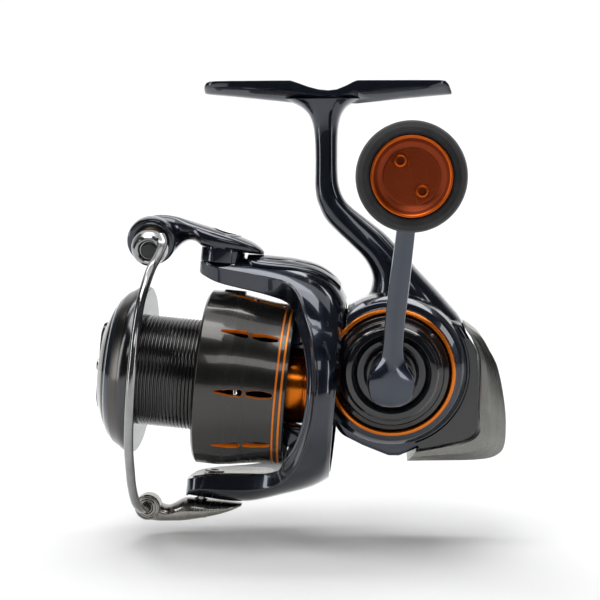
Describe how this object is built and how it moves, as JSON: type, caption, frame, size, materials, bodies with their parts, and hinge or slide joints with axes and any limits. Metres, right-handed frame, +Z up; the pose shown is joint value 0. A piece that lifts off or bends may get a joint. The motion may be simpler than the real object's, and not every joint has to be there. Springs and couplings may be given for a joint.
{
  "type": "spinning reel",
  "caption": "Front-drag spinning fishing reel with foot, gear housing, folding bail, oscillating spool and foam-knob crank handle.",
  "frame": {"origin": "middle of the foot's top plane, where the reel sits against the rod", "axes": "+Z up out of the foot into the rod, -X towards the spool and the rod's tip, +X towards the tail, -Y towards the handle"},
  "size_m": [0.1173, 0.0955, 0.126],
  "materials": {
    "navy_paint": "dark slate-navy metallic gloss paint",
    "black_gloss": "deep black gloss",
    "silver_metal": "satin silver-grey plated metal",
    "orange_anodised": "orange anodised, semi-gloss",
    "gunmetal": "dark gunmetal anodised, fine turned",
    "chrome": "polished",
    "steel": "ground steel",
    "brass": "machined brass alloy",
    "foam": "matte closed-cell foam",
    "felt": "pressed felt",
    "white_plastic": "moulded acetal"
  },
  "bodies": {
    "frame": {"body_frame": "navy_paint", "side_plate": "black_gloss", "side_plate_ring": "orange_anodised", "rear_cover": "silver_metal", "rear_inset_panel": "black_gloss", "opposite_side_cap": "black_gloss", "drive_bearing_near": "steel", "drive_bearing_far": "steel", "pinion_front_bearing": "steel", "pinion_rear_bearing": "steel", "roller_clutch": "steel", "clutch_retainer": "white_plastic", "slider_guide_rail": "steel"},
    "handle": {"drive_gear": "brass", "handle_arm": "navy_paint", "handle_axle_nut": "black_gloss", "knob_shaft": "steel", "knob_bearing_inner": "steel", "knob_bearing_outer": "steel"},
    "knob": {"knob_grip": "foam", "knob_cap": "orange_anodised"},
    "rotor": {"rotor": "navy_paint", "pinion": "brass", "rotor_nut": "gunmetal", "upper_arm_cover": "navy_paint", "hub_sleeve": "orange_anodised", "upper_arm_inner_cover": "navy_paint", "lower_arm_inner_cover": "silver_metal", "bail_spring": "steel", "spring_guide": "steel"},
    "kick": {"kick_lever": "steel"},
    "bail": {"bail_arm": "navy_paint", "bail_holder": "gunmetal", "bail_wire": "chrome", "bail_end_cup": "chrome", "roller_collar": "orange_anodised", "roller_bearing": "steel", "roller_screw": "steel", "bail_pivot_screw_upper": "steel", "bail_pivot_screw_lower": "steel"},
    "roller": {"line_roller": "brass"},
    "oscillation": {"oscillation_gear": "white_plastic"},
    "shaft": {"main_shaft": "steel", "oscillating_slider": "white_plastic", "slider_screw": "steel", "clicker_plate": "black_gloss", "drag_washer_keyed_1": "steel", "drag_washer_keyed_2": "steel"},
    "spool": {"spool_body": "gunmetal", "spool_lip_ring": "gunmetal", "line_clip": "black_gloss", "spool_bearing": "steel", "click_ratchet": "white_plastic", "drag_felt_1": "felt", "drag_felt_2": "felt", "drag_felt_3": "felt", "drag_retainer": "steel"},
    "drag_knob": {"drag_knob": "black_gloss", "drag_spring": "steel", "drag_nut": "brass"}
  },
  "joints": [
    {"name": "rotor_spin", "type": "hinge", "parent": "frame", "child": "rotor", "pos_m": [-0.00372, 0, -0.08671], "axis": [-0.9956, 0, 0.0941], "continuous": true},
    {"name": "handle_turn", "type": "hinge", "parent": "frame", "child": "handle", "pos_m": [0.0179, -0.034, -0.08], "axis": [0, -1, 0], "continuous": true},
    {"name": "knob_spin", "type": "hinge", "parent": "handle", "child": "knob", "pos_m": [0.0224, -0.058, -0.0271], "axis": [0, -1, 0], "continuous": true},
    {"name": "oscillation_turn", "type": "hinge", "parent": "frame", "child": "oscillation", "pos_m": [0.02541, -0.0076, -0.09197], "axis": [0, -1, 0], "continuous": true},
    {"name": "bail_flip", "type": "hinge", "parent": "rotor", "child": "bail", "pos_m": [-0.0302, 0, -0.04804], "axis": [-0.0941, 0, -0.9956], "range_deg": [0, 105]},
    {"name": "roller_spin", "type": "hinge", "parent": "bail", "child": "roller", "pos_m": [-0.05043, -0.00439, -0.04587], "axis": [0.0858, -0.9682, -0.235], "continuous": true},
    {"name": "kick_slide", "type": "slide", "parent": "rotor", "child": "kick", "axis": [0.9956, 0, -0.0941], "range_m": [0, 0.0015]},
    {"name": "spool_slide", "type": "slide", "parent": "frame", "child": "shaft", "axis": [-0.9956, 0, 0.0941], "range_m": [0, 0.013]},
    {"name": "spool_drag", "type": "hinge", "parent": "shaft", "child": "spool", "pos_m": [-0.04354, 0, -0.08294], "axis": [-0.9956, 0, 0.0941], "continuous": true},
    {"name": "drag_knob_turn", "type": "hinge", "parent": "shaft", "child": "drag_knob", "pos_m": [-0.06146, 0, -0.08125], "axis": [-0.9956, 0, 0.0941], "range_deg": [-360, 360]}
  ],
  "couplings": [
    {"joint": "handle_turn", "follows": "rotor_spin", "ratio": 0.16129},
    {"joint": "oscillation_turn", "follows": "rotor_spin", "ratio": -0.098177},
    {"joint": "kick_slide", "follows": "bail_flip", "m_per_rad": 0.000818}
  ]
}
